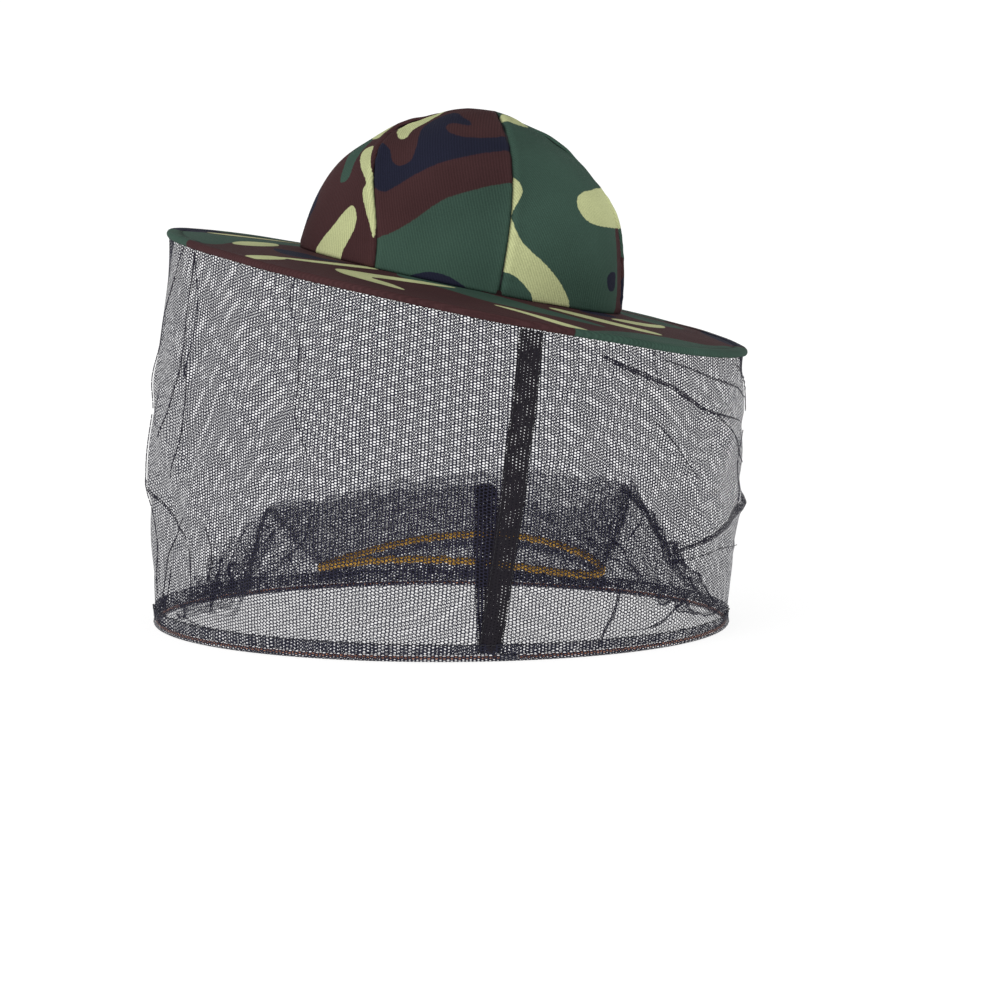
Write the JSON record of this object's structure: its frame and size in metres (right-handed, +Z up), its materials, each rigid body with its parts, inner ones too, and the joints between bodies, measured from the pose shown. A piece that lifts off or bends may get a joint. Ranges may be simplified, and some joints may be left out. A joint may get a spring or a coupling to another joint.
{
  "type": "beekeeping veil",
  "caption": "Wide-brimmed camouflage hat with a black net veil that hangs from the brim to a wire hoop, and a gathered neck skirt on an elastic.",
  "frame": {"origin": "centre of the head opening, in the middle of the brim's thickness", "axes": "+Z up as worn, the lower hoop level; the front of the hat faces -Y and tips up; +X is the wearer's left"},
  "size_m": [0.3688, 0.3692, 0.3182],
  "materials": {
    "camouflage": "printed cotton twill in green, brown, navy and lime, matt",
    "lining_tape": "black woven binding tape",
    "sweatband": "black twill band",
    "interlining": "stiff white non-woven",
    "spring_wire": "drawn spring wire",
    "copper_wire": "copper-washed spring wire",
    "ferrule": "crimped steel sleeve",
    "net": "black hexagonal tulle net, open mesh",
    "seam_tape": "black seam binding",
    "elastic": "mustard braided elastic cord"
  },
  "bodies": {
    "hat": {"crown_front_left": "camouflage", "crown_side_left": "camouflage", "crown_back_left": "camouflage", "crown_back_right": "camouflage", "crown_side_right": "camouflage", "crown_front_right": "camouflage", "crown_tape_front_left": "lining_tape", "crown_tape_side_left": "lining_tape", "crown_tape_back_left": "lining_tape", "crown_tape_back_right": "lining_tape", "crown_tape_side_right": "lining_tape", "crown_tape_front_right": "lining_tape", "sweatband": "sweatband", "brim_top_ply": "camouflage", "brim_under_ply": "camouflage", "brim_interlining": "interlining", "brim_hoop": "spring_wire", "brim_hoop_ferrule": "ferrule", "net_wall": "net", "wall_seam_tape": "seam_tape"},
    "lower_hoop": {"lower_hoop": "copper_wire", "lower_hoop_ferrule": "ferrule", "hoop_casing": "net", "skirt_outer": "net", "skirt_inner": "net", "skirt_seam_tape": "seam_tape"},
    "neck_band": {"neck_elastic": "elastic", "neck_frill": "net"}
  },
  "joints": [
    {"name": "veil_lift", "type": "slide", "parent": "hat", "child": "lower_hoop", "axis": [0, 0, 1], "range_m": [0, 0.09], "deforming": ["net_wall", "wall_seam_tape"]},
    {"name": "neck_slide", "type": "slide", "parent": "lower_hoop", "child": "neck_band", "axis": [0, 0, 1], "range_m": [-0.05, 0.02], "deforming": ["skirt_inner"]}
  ]
}
